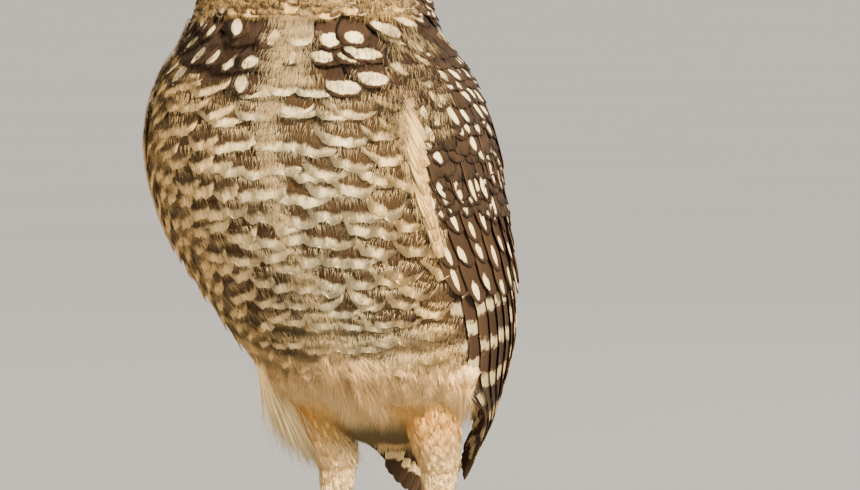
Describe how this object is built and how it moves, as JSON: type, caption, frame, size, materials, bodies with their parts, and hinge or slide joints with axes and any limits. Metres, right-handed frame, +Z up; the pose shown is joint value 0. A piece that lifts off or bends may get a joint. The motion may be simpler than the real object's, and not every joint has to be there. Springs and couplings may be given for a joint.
{
  "type": "burrowing owl figure",
  "caption": "Small long-legged owl standing upright with folded wings, leaning slightly forward and to one side, head turned a little; whole animal, life size, museum-like still model.",
  "frame": {"origin": "middle of the underside of the whole box, on the ground the feet stand on", "axes": "+Z up, -Y the way the body faces, +X the left side of the bird"},
  "size_m": [0.1086, 0.1144, 0.2339],
  "materials": {
    "plumage_breast": "downy feathers, cream with brown bars",
    "plumage_head": "downy feathers, brown with cream spots",
    "plumage_wing": "firm feathers, dark brown with pale bars and spots",
    "plumage_leg": "short buff feathering",
    "toe_skin": "scaly skin",
    "claw_horn": "smooth dark horn",
    "bill_horn": "smooth yellowish horn",
    "cere_skin": "soft greyish skin",
    "eye": "clear cornea over a yellow iris"
  },
  "bodies": {
    "root": {"torso": "plumage_breast", "head": "plumage_head", "neck": "plumage_head", "wing_left": "plumage_wing", "wing_right": "plumage_wing", "tail": "plumage_wing", "thigh_left": "plumage_leg", "thigh_right": "plumage_leg", "shank_left": "plumage_leg", "shank_right": "plumage_leg", "foot_left": "toe_skin", "foot_right": "toe_skin", "claw_left_hind": "claw_horn", "claw_left_inner": "claw_horn", "claw_left_middle": "claw_horn", "claw_left_outer": "claw_horn", "claw_right_hind": "claw_horn", "claw_right_inner": "claw_horn", "claw_right_middle": "claw_horn", "claw_right_outer": "claw_horn", "bill_upper": "bill_horn", "bill_lower": "bill_horn", "cere": "cere_skin", "eye_left": "eye", "eye_right": "eye"}
  },
  "joints": []
}
